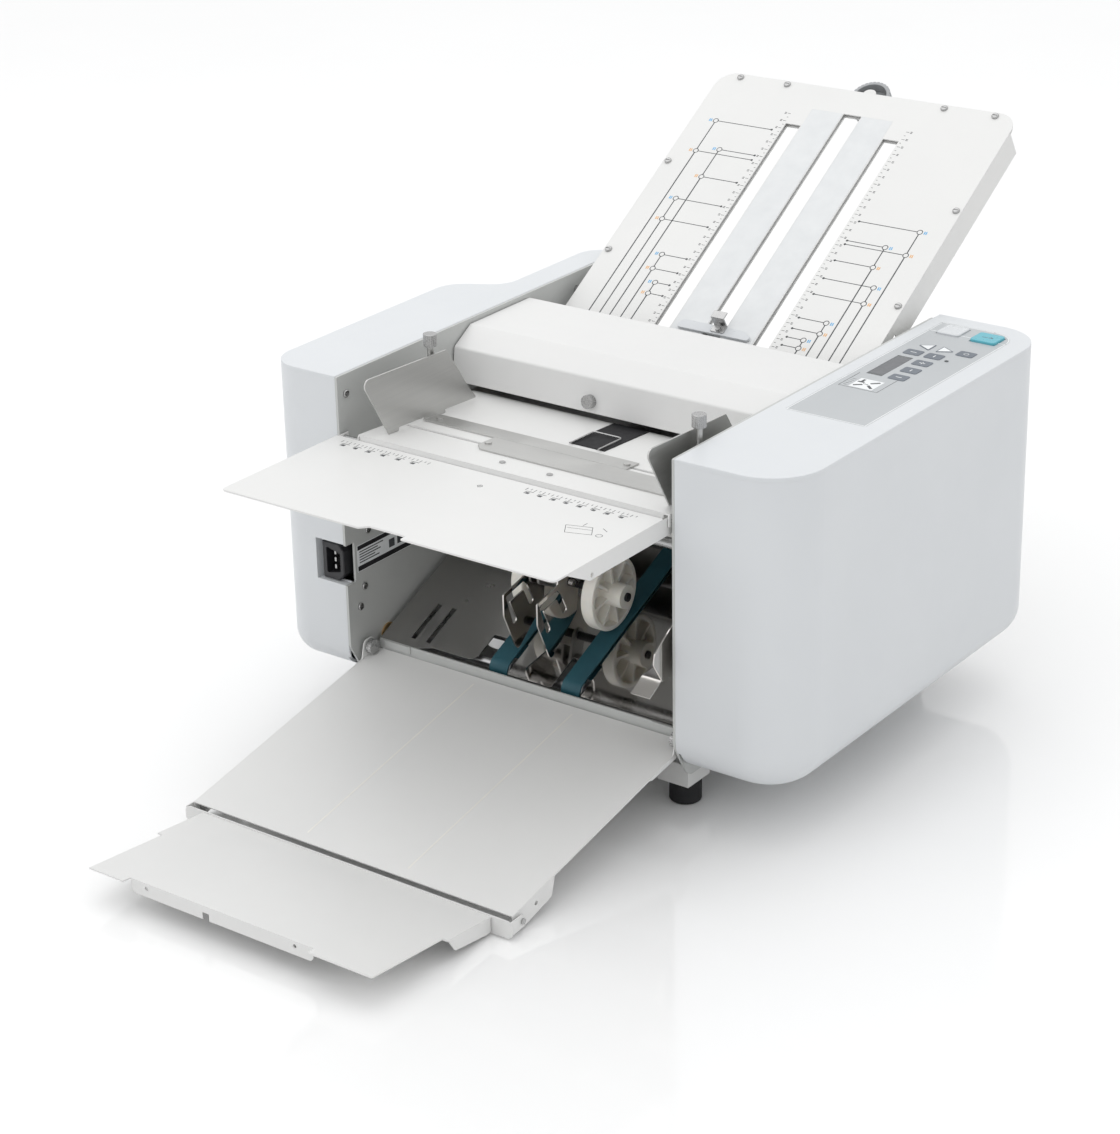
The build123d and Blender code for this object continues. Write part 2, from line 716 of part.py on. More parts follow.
def fold_roller(name):
    """Steel roller with its shaft ends, grooved in short fields."""
    centre = roller_centre(name)
    roller = rod_x(-ROLLER_HALF, ROLLER_HALF, centre, ROLLER_R)
    roller += rod_x(-184, roller_reach(name), centre, SHAFT_R)
    for i in range(12):
        x = -150 + 27.3 * i
        roller -= rod_x(x - 0.8, x + 0.8, centre, 20) - rod_x(x - 1, x + 1, centre, 15.2)
    if name in ("fold_roller_1", "fold_roller_4"):
        roller += rod_x(200, 208, centre, 9 - RUNNING)
    if name == "fold_roller_2":
        roller += rod_x(212, 222, centre, 20 - RUNNING)
    return roller


def fold_gear(name):
    """Gear pressed on a roller's right shaft end."""
    phase = 0 if name == "fold_roller_2" else mesh_phase(ROLLER_ANGLES[name])
    centre = roller_centre(name)
    wheel = gear(centre, phase, 184, 194)
    return wheel - rod_x(180, 200, centre, SHAFT_R)


def fold_slots(n0, n1):
    """The see-through slots of the upper fold plate."""
    return [fold_block(x0, x1, top, FOLD_SLOT_END, n0, n1) for x0, x1, top in FOLD_SLOTS]


def fold_sheet(half, n0, n1, corner):
    """One sheet of the upper fold plate, with rounded top corners."""
    corners = [(-half, 9.5), (half, 9.5), (half, -FOLD_LENGTH), (-half, -FOLD_LENGTH)]
    sheet = floor_plate(corners, [corner, corner, 2, 2], n0, n1)
    for slot in fold_slots(n0 - 1, n1 + 1):
        sheet -= slot
    return sheet


FOLD_SCREWS = [(x, -4.5) for x in (-143.5, -88.5, 88.5, 143.5)]
FOLD_SCREWS += [(side * 161.5, down) for side in (-1, 1) for down in (117.5, 239.0, 360.5)]


def fold_plate_front():
    """Upper sheet of the fold plate, with flanges along its sides."""
    plate = fold_sheet(FOLD_HALF, -SHEET, 0, 20)
    for side in (1, -1):
        plate += fold_block(*span(side, FOLD_HALF - SHEET, FOLD_HALF), 12, FOLD_LENGTH - 2, -28, -0.5)
    plate -= fold_block(160, 170, 262, 276, -17, -11)
    for x, down in FOLD_SCREWS:
        plate -= rod_z(-3, 1, x, -down, 1.6 + FIT)
    plate = on_fold_plate(plate)
    for centre in FOLD_PEGS:
        plate -= rod_x(-180, 180, centre, PEG_R + FIT)
    return plate


def fold_plate_back():
    """Lower sheet of the fold plate, a paper's play behind the upper one."""
    n1 = -SHEET - FOLD_GAP
    plate = fold_sheet(FOLD_HALF - 1.6, n1 - SHEET, n1, 19)
    tab = floor_plate([(-7, -20), (7, -20), (7, 18.5), (-7, 18.5)], [1, 1, 6.5, 6.5], n1 - SHEET, n1)
    plate += tab - block(-10, 10, -60, -21.6, -20, 20)
    plate += rod_z(-30, n1 - 0.5, 0, SKEW_UP, SKEW_STUD_R)
    for x, down in FOLD_SCREWS:
        plate += rod_z(n1 - 0.1, -SHEET, x, -down, 3.5)
        plate -= rod_z(-9, 1, x, -down, 1.6 + FIT)
    return on_fold_plate(plate)


def fold_plate_screws():
    """Round-head screws of the fold plate."""
    screws = []
    for x, down in FOLD_SCREWS:
        head = rod_z(0, 2.2, x, -down, 3.6)
        head = fillet(head.edges().filter_by(GeomType.CIRCLE).sort_by(Axis.Z)[-1], 1.6)
        head += rod_z(-7, 0, x, -down, 1.6)
        screws.append(on_fold_plate(head - block(x - 2.4, x + 2.4, -down - 0.4, -down + 0.4, 1.4, 3)))
    return screws


def fold_plate_pegs():
    pegs = []
    for centre in FOLD_PEGS:
        for side in (1, -1):
            peg = rod_x(*span(side, 163, INNER), centre, PEG_R)
            pegs.append(peg + rod_x(*span(side, INNER, INNER + 5), centre, 3.0))
    return pegs


def fold_stop():
    """Paper stop that is set up and down the fold plate."""
    carriage = floor_plate([(-35, -304), (31, -304), (50, -314), (-40, -314)], [1, 1, 3, 3], 0.3, 3)
    stem = fold_block(-8.5, 8.5, 303, 311, -12, 1)
    bar = fold_block(-40, 40, 306, 310, -3.8, -1.6)
    stop = carriage + stem + bar + fold_block(-16, 16, 299, 315, -12, -6)
    return on_fold_plate(stop)


def stop_clip():
    """Steel clip and clamp screw on the paper stop."""
    clip = fold_block(-1, 13, 303, 312, 3, 4.2)
    clip += fold_block(-1, 13, 303, 304.2, 4, 14)
    clip += fold_block(-1, 13, 296, 304.2, 14, 15.2)
    clip += rod_z(4, 6.6, 6, -308.5, 2.8)
    return on_fold_plate(clip)


def skew_knob():
    """Ribbed knob that sets the fold plate's skew."""
    knob = rod_z(-24, -7, 0, SKEW_UP, 20.6)
    for i in range(30):
        turn = math.radians(12 * i)
        knob -= rod_z(-25, -6, 21 * math.cos(turn), SKEW_UP + 21 * math.sin(turn), 1.1)
    knob -= rod_z(-17, -6, 0, SKEW_UP, 17) - rod_z(-18, -5, 0, SKEW_UP, 7.5)
    knob -= rod_z(-30, 0, 0, SKEW_UP, SKEW_STUD_R + RUNNING)
    return on_fold_plate(knob)


def second_fold_plate():
    """Lower fold pocket, between the rollers and the floor plate."""
    slope = math.atan2(-142, 102)
    place = Plane(origin=(0, 238, -120), x_dir=(1, 0, 0), z_dir=(0, -math.sin(slope), math.cos(slope)))
    length = 168
    pocket = block(-165, 165, 0, length, 0, SHEET) + block(-165, 165, 0, length, SHEET + 3, 2 * SHEET + 3)
    pocket += block(-165, -163, 0, length, 0, 2 * SHEET + 3)
    pocket += block(163, 165, 0, length, 0, 2 * SHEET + 3)
    pocket += block(-165, 165, length - SHEET, length, 0, 2 * SHEET + 3)
    for x in (-60, 60):
        pocket -= block(x - 8, x + 8, 30, length - 10, -1, 10)
    return place.location * pocket


def exit_chute():
    """Two curved sheets that turn the folded sheet down on to the belts."""
    upper = sheet_x([(150, -150), (166, -108), (192, -92)], -165, 165, SHEET, 6)
    lower = sheet_x([(206, -172), (188, -122), (196, -106)], -165, 165, SHEET, 3)
    sides = [block(*span(side, 165, INNER - 0.2), 160, 200, -130, -128.8) for side in (1, -1)]
    chute = upper + lower
    for side in sides:
        chute += side
    return chute


# Delivery

def belt_shaft(centre):
    """Shaft with the two belt pulleys."""
    shaft = rod_x(-184, 209, centre, SHAFT_R)
    for side in (1, -1):
        middle = side * BELT_X
        shaft += rod_x(middle - 11, middle + 11, centre, BELT_R - BELT_THICK - RUNNING)
    if centre == REAR_PULLEY:
        shaft += rod_x(200, 208, centre, 9 - RUNNING)
    return shaft


def delivery_belts():
    half = BELT_WIDTH / 2
    belts = []
    for side in (1, -1):
        x = side * BELT_X
        belts.append(belt(FRONT_PULLEY, REAR_PULLEY, BELT_R, BELT_R, BELT_THICK, x - half, x + half))
    return belts


def drive_belts():
    """Timing belts of the motor, the feed shaft and the delivery shaft."""
    first = SHAFTS["fold_roller_1"]
    fourth = SHAFTS["fold_roller_4"]
    return [
        belt(ROLLER_2, MOTOR, 21.5, 11.5, 1.5, 212.5, 221.5),
        belt(first, FEED_SHAFT, 10.5, 10.5, 1.5, 200.5, 207.5),
        belt(fourth, REAR_PULLEY, 10.5, 10.5, 1.5, 200.5, 207.5),
    ]


def transport_plate():
    """Polished plate under the belts, cut away round the front pulleys."""
    length = 196
    front_left = [(-172, 0), (-130, 0), (-114, 6), (-66, 6)]
    belt_cuts = [(-66, 40), (-27, 40), (-27, 2), (22, 2), (22, 40), (54, 40), (54, 2)]
    plan = [*front_left, *belt_cuts, (172, 2), (172, length), (-172, length)]
    radii = [1, 4, 4, 8, 2, 2, 2, 2, 2, 2, 2, 1, 1, 1]
    plate = floor_plate(plan, radii, -SHEET, 0)
    for x in (-140, -123):
        plate -= block(x - 2.5, x + 2.5, 10, 55, -3, 1)
    slope = math.radians(BELT_SLOPE)
    place = Plane(origin=(0, 35, -264.4), x_dir=(1, 0, 0), z_dir=(0, -math.sin(slope), math.cos(slope)))
    return place.location * plate


def hook_plate(x):
    """Polished plate with the hooked slot, hung on the arm rod."""
    hanger = [(62, -176), (62, -103), (80, -103), (80, -172)]
    profile = [(31, -183), *hanger, (93, -184), (89, -212), (49, -244), (31, -204)]
    plate = side_plate(profile, [2, 3, 5, 5, 2, 5, 4, 4, 6], x - 0.75, x + 0.75)
    plate -= rod_x(x - 2, x + 2, TIES[0], TIE_R + FIT)
    outer_edge = [(34, -186), (60, -180.5), (66, -186), (75, -204)]
    inner_edge = [(69, -207), (60, -189), (40, -193), (50, -214), (44, -217)]
    plate -= side_plate(outer_edge + inner_edge, [2, 2, 2, 2.5, 2.5, 1, 1, 2.8, 2.8], x - 2, x + 2)
    return plate - rod_x(x - 2, x + 2, ARM_PIVOT, 3.0 + FIT)


def stacker_arm():
    """Forked arm that lets the wheels ride on the belts."""
    profile = [(83, -172.5), (108, -183), (112, -196), (104, -200.5), (96, -198), (76, -188), (75, -178)]
    arm = side_plate(profile, [7, 6, 6, 5, 4, 5, 5], -20, -17.5)
    arm += side_plate(profile, [7, 6, 6, 5, 4, 5, 5], 5.5, 8)
    arm += rod_x(-18, 6, ARM_PIVOT, 6)
    arm -= rod_x(-30, 20, ARM_PIVOT, 3.0 + RUNNING)
    return arm - rod_x(-30, 20, WHEEL_AXLE, 4.0 + RUNNING)


def stacker_axle():
    axle = rod_x(-60, 60, WHEEL_AXLE, 4.0)
    for side in (1, -1):
        axle -= block(*span(side, 54, 61), 100, 101.2, -197, -187)
    return axle


def stacker_wheel(side):
    """Ribbed nylon wheel with a long hub."""
    inner = side * (WHEEL_X - 6.5)
    outer = side * (WHEEL_X + 6.5)
    near, far = sorted((inner, outer))
    wheel = rod_x(near, far, WHEEL_AXLE, WHEEL_R)
    wheel = fillet(wheel.edges().filter_by(GeomType.CIRCLE), 1.5)
    cup = rod_x(*sorted((outer - side * 9.5, outer + side)), WHEEL_AXLE, WHEEL_R - 4.5)
    cup -= rod_x(*sorted((outer - side * 12, outer + side * 2)), WHEEL_AXLE, 11)
    rib = block(*sorted((outer - side * 12, outer)), -1.2, 1.2, 8, 40)
    for i in range(8):
        cup -= Pos(0, *WHEEL_AXLE) * Rot(45 * i + 10, 0, 0) * rib
    wheel -= cup
    wheel += rod_x(*sorted((outer - side * 4, side * 58)), WHEEL_AXLE, 11)
    return wheel - rod_x(-70, 70, WHEEL_AXLE, 4.0)


def exit_bracket():
    """Small polished sheet that steadies the folded stack on the right."""
    profile = [(14, -150), (-18, -170), (-20, -180), (-7, -199.8), (40, -199.8), (40, -150)]
    wall = side_plate(profile, [2, 4, 3, 0, 0, 0], 171, 172.2)
    shelf = sheet_x([(40, -199), (-7, -199), (-25, -209)], 152, 171.5, 0.8, 2)
    tab = block(172.2, INNER, 25, 39, -175, -173.8)
    return wall + shelf + tab


def tray_point(y):
    """The point of the delivery tray's upper face at this y."""
    return (y, DELIVERY_TOP[1] + (y - DELIVERY_TOP[0]) * DELIVERY_SLOPE)


def delivery_tray():
    """Sheet metal delivery tray, with ears at both ends."""
    tray = sheet_x([tray_point(30), tray_point(-221.7)], -172.6, 172.6, -SHEET)
    for side in (1, -1):
        rear = [(26, -258.5), (29, -277), (4, -281), (-24, -285.5), (-30, -283.9), (8, -275.7), (12, -258.5)]
        inner = span(side, 171.4, 172.6)
        tray += side_plate(rear, [6, 6, 2, 2, 0.5, 2, 6], *inner)
        tip = [(-163.9, -311.0), (-168.6, -328.1), (-208, -338.0), (-219.5, -336.0), (-221.7, -321.6)]
        tray += side_plate(tip, [1, 3, 3, 5, 1], *inner)
        wide = span(side, 160, 180)
        tray -= rod_x(*wide, DELIVERY_PIVOT, 3.0 + RUNNING)
        tray -= rod_x(*wide, (-189.9, -324.3), 2.0)
        tray -= rod_x(*wide, EXTENSION_PIVOT, 2.5 + FIT)
    return tray


def tray_pivot_screws():
    """Knurled screws that carry the delivery tray."""
    screws = []
    for side in (1, -1):
        screw = rod_x(*span(side, 165, 170.6), DELIVERY_PIVOT, 7)
        for i in range(18):
            turn = math.radians(20 * i)
            centre = (DELIVERY_PIVOT[0] + 7.2 * math.cos(turn), DELIVERY_PIVOT[1] + 7.2 * math.sin(turn))
            screw -= rod_x(*span(side, 164, 171), centre, 0.6)
        screw += rod_x(*span(side, 169, INNER), DELIVERY_PIVOT, 3.0)
        screws.append(screw + rod_x(*span(side, INNER, INNER + 4), DELIVERY_PIVOT, 2.0))
    return screws


def extension_pins():
    pins = []
    for side in (1, -1):
        pin = rod_x(*span(side, 170, 177.4), EXTENSION_PIVOT, 2.5)
        pins.append(pin + rod_x(*span(side, 168.8, 170), EXTENSION_PIVOT, 4.5))
    return pins


def extension_height(y):
    return -324 - (y + 229) * 0.1


def tray_extension():
    """Fold-up extension of the delivery tray, with its bracket bar."""
    start, step, end = [(y, extension_height(y)) for y in (-227.2, -284.0, -370.0)]
    plate = sheet_x([start, end], -150.5, 150.5, -SHEET) + sheet_x([start, step], -156, 156, -SHEET)
    for side in (1, -1):
        flange = [(-229, -325), (-283, -319.6), (-275, -332), (-236, -337.5), (-229, -337.5)]
        plate += side_plate(flange, [0, 0, 4, 3, 1], *span(side, 154.8, 156))
    plate -= block(-112, 85, -375, -362, -330, -300)
    lip = block(-111, 84, -362, -360.8, -323.5, extension_height(-361) - 0.6)
    lip = fillet(lip.edges().filter_by(Axis.Y).sort_by(Axis.Z)[:2], 5)
    lip -= block(-33, -26, -365, -358, -330, -317)
    for x in (-94, 65):
        lip -= rod_y(-370, -355, x, -315.5, 1.8)
    bar_plan = [(-177, -323), (177, -323), (177, -339), (-177, -339)]
    plate += lip + extrude(Plane.XZ.offset(228 - SHEET) * outline(bar_plan, 6), SHEET)
    for side in (1, -1):
        arm = [(-228, -323.4), (-212, -323.2), (-207, -329), (-212, -334.5), (-228, -336)]
        piece = side_plate(arm, [0, 4, 4, 4, 0], *span(side, 174.6, 175.8))
        plate += piece - rod_x(*span(side, 170, 180), EXTENSION_PIVOT, 2.5 + RUNNING)
    return plate


# Drive

def motor():
    """Drive motor on its bracket, in the right housing."""
    body = rod_x(226, 284, MOTOR, 36)
    body = fillet(body.edges().filter_by(GeomType.CIRCLE), 3)
    bracket = block(223.5, 226, MOTOR[0] - 40, MOTOR[0] + 40, MOTOR[1] - 40, MOTOR[1] + 40)
    for dy in (-34, 34):
        for dz in (-34, 34):
            bracket += rod_x(180.1, 224, (MOTOR[0] + dy, MOTOR[1] + dz), 4)
    return body + bracket - rod_x(215, 250, MOTOR, 4 + RUNNING)


def motor_pulley():
    return rod_x(210, 249, MOTOR, 4) + rod_x(212, 222, MOTOR, 10 - RUNNING)


FEET = [(side, y) for side in (1, -1) for y in (34.0, 368.0)]


def save_frame():
    save("side_frame_right", side_frame(1))
    save("side_frame_left", side_frame(-1))
    save("base_plate", base_plate())
    save("foot_brackets", [foot_bracket(side, y) for side, y in FEET])
    save("rubber_feet", [rubber_foot(side, y + 17) for side, y in FEET])
    save("front_crossbar", front_crossbar())
    save("frame_rods", frame_rods())
    screws = [frame_screw(side, centre) for side in (1, -1) for centre in FRAME_SCREWS]
    save("machine_screws", screws + tray_pivot_screws() + fold_plate_screws())
    save("roller_bearings", roller_bearings())


def save_housings():
    save("housing_shell_right", housing_shell(RIGHT_PLAN, RIGHT_RADII, BOTTOM_R_RIGHT))
    save("housing_shell_left", housing_shell_left())
    save("housing_top_right", housing_top_right())
    save("housing_top_left", housing_top(LEFT_PLAN, LEFT_RADII))
    save("control_panel", control_panel())
    save("display_window", display_window())
    save("membrane_keys", membrane_keys())
    save("start_key", push_key(START_KEY, 2.2))
    save("stop_key", push_key(STOP_KEY, 1.6))
    save("circuit_board", circuit_board())
    save("power_inlet", power_inlet())
    save("inlet_pins", inlet_pins())
    save("power_supply", power_supply())


def save_feed():
    save("hood_cover", hood_cover())
    save("hood_knob", hood_knob())
    save("feed_tray", feed_tray())
    save("feed_table", feed_table())
    save("table_fittings", [separator_spring(), *table_screws()])
    save("separator_pad", separator_pad())
    save("guide_left", [guide_left(), *strip_screws(STRIP_R_SCREWS, SLOT_R)])
    save("guide_right", [guide_right(), *strip_screws(STRIP_F_SCREWS, SLOT_F)])
    save("clamp_knob_left", clamp_knob(LEFT_ROD))
    save("clamp_knob_right", clamp_knob(RIGHT_ROD))
    save("feed_roller", feed_roller())
    save("feed_tyre", feed_tyre())


def save_folding():
    for name in SHAFTS:
        if name.startswith("fold_roller"):
            save(name, fold_roller(name) + fold_gear(name))
    save("fold_plate_front", fold_plate_front())
    save("fold_plate_back", fold_plate_back())
    save("fold_stop", fold_stop())
    save("stop_clip", stop_clip())
    save("skew_knob", skew_knob())
    save("second_fold_plate", second_fold_plate())
    save("paper_chutes", [paper_bridge(), exit_chute()])
    save("motor", motor())
    save("motor_pulley", motor_pulley())
    save("drive_belts", drive_belts())


def save_delivery():
    save("belt_shaft_front", belt_shaft(FRONT_PULLEY))
    save("belt_shaft_rear", belt_shaft(REAR_PULLEY))
    save("delivery_belts", delivery_belts())
    save("transport_plate", transport_plate())
    save("hook_plates", [hook_plate(-24), hook_plate(13)])
    save("exit_bracket", exit_bracket())
    save("stacker_arm", stacker_arm())
    save("stacker_axle", stacker_axle())
    save("stacker_wheels", [stacker_wheel(1), stacker_wheel(-1)])
    save("delivery_tray", delivery_tray())
    save("extension_pins", extension_pins())
    save("tray_extension", tray_extension())


os.makedirs("parts", exist_ok=True)
save_frame()
save_housings()
save_feed()
save_folding()
save_delivery()
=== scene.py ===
"""Looks of a desktop paper folding machine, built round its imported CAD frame."""

import json
import math

import bmesh
import bpy
from mathutils import Matrix, Vector


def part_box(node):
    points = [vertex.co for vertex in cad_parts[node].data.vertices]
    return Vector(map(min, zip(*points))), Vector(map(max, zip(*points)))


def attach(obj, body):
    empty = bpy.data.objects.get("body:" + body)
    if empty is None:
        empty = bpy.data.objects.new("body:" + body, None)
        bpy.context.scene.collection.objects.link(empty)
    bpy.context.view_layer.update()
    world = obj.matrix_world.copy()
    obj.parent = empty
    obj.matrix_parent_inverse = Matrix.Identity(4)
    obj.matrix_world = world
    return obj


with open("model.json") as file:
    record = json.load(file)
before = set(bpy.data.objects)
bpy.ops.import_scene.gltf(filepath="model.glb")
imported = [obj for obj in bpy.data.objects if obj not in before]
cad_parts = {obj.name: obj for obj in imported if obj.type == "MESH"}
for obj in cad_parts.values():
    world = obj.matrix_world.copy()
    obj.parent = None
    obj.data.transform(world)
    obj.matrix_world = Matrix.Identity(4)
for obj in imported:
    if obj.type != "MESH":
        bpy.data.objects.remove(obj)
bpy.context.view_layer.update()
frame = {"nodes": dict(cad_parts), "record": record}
NODES = frame["nodes"]

# Places are given as on the machine, in millimetres: x from the middle, y back from the housing
# fronts, z up from the housing tops.
TOP_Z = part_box("housing_top_right")[1].z
FRONT_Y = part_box("housing_shell_right")[0].y
FRAME_LEFT_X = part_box("side_frame_left")[1].x
FRAME_RIGHT_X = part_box("side_frame_right")[0].x
MIDDLE_X = (FRAME_LEFT_X + FRAME_RIGHT_X) / 2
MM = 0.001
INNER_X = (FRAME_RIGHT_X - FRAME_LEFT_X) / 2 / MM
INK = 0.06               # how far print stands off its sheet
# How far the painted shade and painted highlight strips stand off their sheets.
PAINTED_LIGHT_LIFT = 0.05
BELT_SLOPE = math.radians(24.2)
FOLD_SLOPE = math.radians(31.68)
TRAY_SLOPE = 46.3 / 234.4
SATIN_BORDER_X = -62     # where the transport plate's satin part ends


def machine(x, y, z):
    return Vector((MIDDLE_X + x * MM, FRONT_Y + y * MM, TOP_Z + z * MM))


class Face:
    """A flat place to print on: an origin and two directions, in machine millimetres."""

    def __init__(self, origin, along, up):
        self.origin = Vector(origin)
        self.along = Vector(along).normalized()
        self.up = Vector(up).normalized()
        self.out = self.along.cross(self.up)

    def at(self, a, b, lift=0.0):
        return machine(*(self.origin + self.along * a + self.up * b + self.out * lift))


FOLD_FACE = Face((0, 594.6, 141.9), (1, 0, 0), (0, math.cos(FOLD_SLOPE), math.sin(FOLD_SLOPE)))
TRAY_FACE = Face((0, 0, -52), (1, 0, 0), (0, 1, 0))
PANEL_FACE = Face((0, 0, 0), (1, 0, 0), (0, 1, 0))
LABEL_FACE = Face((-INNER_X, 0, -180), (0, 1, 0), (0, 0, 1))
DELIVERY_FACE = Face((0, 12.7, -275.1), (1, 0, 0), (0, 1, TRAY_SLOPE))
PLATE_FACE = Face((0, 35, -264.4), (1, 0, 0), (0, math.cos(BELT_SLOPE), math.sin(BELT_SLOPE)))


# Materials

class Surface:
    """A node material under construction."""

    def __init__(self, name, color, roughness, metallic=0.0):
        self.material = bpy.data.materials.new(name)
        self.material.use_nodes = True
        self.nodes = self.material.node_tree.nodes
        self.links = self.material.node_tree.links
        self.bsdf = self.nodes["Principled BSDF"]
        self.bsdf.inputs["Metallic"].default_value = metallic
        self.bsdf.inputs["Roughness"].default_value = roughness
        self.bsdf.inputs["Base Color"].default_value = (*color, 1)
        self.coords = self.nodes.new("ShaderNodeTexCoord").outputs["Object"]
        self.color = color
        self.roughness = roughness
        self.normal = self.rounded_edges(0.0004)

    def rounded_edges(self, radius):
        bevel = self.nodes.new("ShaderNodeBevel")
        bevel.samples = 4
        bevel.inputs["Radius"].default_value = radius
        self.links.new(bevel.outputs["Normal"], self.bsdf.inputs["Normal"])
        return bevel.outputs["Normal"]

    def noise(self, scale, detail=4.0, stretch=(1, 1, 1), roughness=0.55):
        mapping = self.nodes.new("ShaderNodeMapping")
        mapping.inputs["Scale"].default_value = stretch
        self.links.new(self.coords, mapping.inputs["Vector"])
        noise = self.nodes.new("ShaderNodeTexNoise")
        noise.inputs["Scale"].default_value = scale
        noise.inputs["Detail"].default_value = detail
        noise.inputs["Roughness"].default_value = roughness
        self.links.new(mapping.outputs["Vector"], noise.inputs["Vector"])
        return noise.outputs["Fac"]

    def ranged(self, value, low, high):
        remap = self.nodes.new("ShaderNodeMapRange")
        remap.inputs["From Min"].default_value = 0.3
        remap.inputs["From Max"].default_value = 0.7
        remap.inputs["To Min"].default_value = low
        remap.inputs["To Max"].default_value = high
        self.links.new(value, remap.inputs["Value"])
        return remap.outputs["Result"]

    def vary_color(self, value, amount):
        """Lighter and darker patches, and a little shift towards warm."""
        mix = self.nodes.new("ShaderNodeMix")
        mix.data_type = "RGBA"
        dark = [c * (1 - amount) for c in self.color]
        light = [min(1.0, c * (1 + amount * k)) for c, k in zip(self.color, (1.1, 1.0, 0.85))]
        mix.inputs["A"].default_value = (*dark, 1)
        mix.inputs["B"].default_value = (*light, 1)
        self.links.new(self.ranged(value, 0, 1), mix.inputs["Factor"])
        self.links.new(mix.outputs["Result"], self.bsdf.inputs["Base Color"])
        return self

    def vary_roughness(self, value, amount):
        low = max(0.02, self.roughness - amount)
        self.links.new(self.ranged(value, low, self.roughness + amount), self.bsdf.inputs["Roughness"])
        return self

    def bump(self, value, height, strength=1.0):
        bump = self.nodes.new("ShaderNodeBump")
        bump.inputs["Strength"].default_value = strength
        bump.inputs["Distance"].default_value = height
        self.links.new(value, bump.inputs["Height"])
        self.links.new(self.normal, bump.inputs["Normal"])
        self.links.new(bump.outputs["Normal"], self.bsdf.inputs["Normal"])
        self.normal = bump.outputs["Normal"]
        return self

    def set(self, **values):
        for name, value in values.items():
            self.bsdf.inputs[name.replace("_", " ")].default_value = value
        return self


def moulded(name, color, roughness=0.42, grain=0.00003):
    """Injection moulded plastic with a fine eroded grain."""
    surface = Surface(name, color, roughness)
    surface.vary_color(surface.noise(7, 3), 0.015)
    surface.vary_roughness(surface.noise(40, 4), 0.05)
    surface.bump(surface.noise(2600, 2), grain, 0.35)
    surface.bump(surface.noise(90, 2), 0.0002, 0.02)
    return surface.set(Specular_IOR_Level=0.5).material


def coated(name, color, roughness=0.38):
    """Powder coated sheet metal with its orange-peel texture."""
    surface = Surface(name, color, roughness)
    surface.vary_color(surface.noise(5, 4), 0.018)
    surface.vary_roughness(surface.noise(60, 3), 0.05)
    surface.bump(surface.noise(900, 3), 0.00006, 0.22)
    return surface.set(Coat_Weight=0.12, Coat_Roughness=0.25).material


def brushed(name, color, stretch, roughness=0.3):
    """Brushed metal: stretch is long across the streaks and short along them."""
    surface = Surface(name, color, roughness, 1.0)
    streaks = surface.noise(1, 6, stretch, 0.7)
    surface.vary_color(surface.noise(1, 5, [s * 0.35 for s in stretch]), 0.03)
    surface.vary_roughness(streaks, 0.05)
    surface.bump(streaks, 0.00003, 0.1)
    return surface.set(Anisotropic=0.5).material


def polished(name, color, roughness=0.06):
    """Mirror polished steel with faint rolling lines and smears."""
    surface = Surface(name, color, roughness, 1.0)
    surface.vary_color(surface.noise(9, 5), 0.04)
    surface.vary_roughness(surface.noise(35, 6), 0.035)
    surface.bump(surface.noise(1, 4, (8, 700, 700)), 0.00001, 0.12)
    surface.bump(surface.noise(14, 2), 0.0004, 0.02)
    return surface.material


def part_polished(name, color, satin, mirror, border_x):
    """Steel sheet that is satin up to a border across the machine and mirror polished beyond it."""
    fade = 4 * MM
    surface = Surface(name, color, satin, 1.0)
    surface.vary_color(surface.noise(9, 5), 0.04)
    split = surface.nodes.new("ShaderNodeSeparateXYZ")
    step = surface.nodes.new("ShaderNodeMapRange")
    step.inputs["From Min"].default_value = border_x - fade
    step.inputs["From Max"].default_value = border_x + fade
    surface.links.new(surface.coords, split.inputs["Vector"])
    surface.links.new(split.outputs["X"], step.inputs["Value"])
    mix = surface.nodes.new("ShaderNodeMix")
    surface.links.new(step.outputs["Result"], mix.inputs["Factor"])
    smears = surface.noise(35, 6)
    surface.links.new(surface.ranged(smears, satin - 0.04, satin + 0.04), mix.inputs["A"])
    surface.links.new(surface.ranged(smears, mirror - 0.03, mirror + 0.03), mix.inputs["B"])
    surface.links.new(mix.outputs["Result"], surface.bsdf.inputs["Roughness"])
    surface.bump(surface.noise(1, 4, (8, 700, 700)), 0.00001, 0.12)
    return surface.material


def rubber(name, color, roughness=0.75):
    """Matt rubber with dusty patches."""
    surface = Surface(name, color, roughness)
    surface.vary_color(surface.noise(30, 5), 0.12)
    surface.vary_roughness(surface.noise(120, 4), 0.08)
    surface.bump(surface.noise(1500, 4), 0.00008, 0.5)
    return surface.set(Specular_IOR_Level=0.35).material


def belt_fabric(name, color):
    """Delivery belt: a fine cloth weave under a rubber coat."""
    surface = Surface(name, color, 0.55)
    wave = surface.nodes.new("ShaderNodeTexWave")
    wave.inputs["Scale"].default_value = 260
    wave.inputs["Distortion"].default_value = 0.6
    surface.links.new(surface.coords, wave.inputs["Vector"])
    surface.vary_color(surface.noise(22, 5), 0.12)
    surface.vary_roughness(surface.noise(60, 4), 0.08)
    surface.bump(wave.outputs["Fac"], 0.00008, 0.25)
    surface.bump(surface.noise(1300, 3), 0.00005, 0.4)
    return surface.set(Sheen_Weight=0.25, Sheen_Roughness=0.4).material


def nylon(name, color):
    """Cream nylon with a soft glow and flow marks."""
    surface = Surface(name, color, 0.36)
    surface.vary_color(surface.noise(55, 5), 0.05)
    surface.vary_roughness(surface.noise(80, 4), 0.08)
    surface.bump(surface.noise(320, 3), 0.00008, 0.2)
    surface.set(Subsurface_Weight=0.25, Subsurface_Scale=0.004)
    surface.bsdf.inputs["Subsurface Radius"].default_value = (1.0, 0.8, 0.6)
    return surface.material


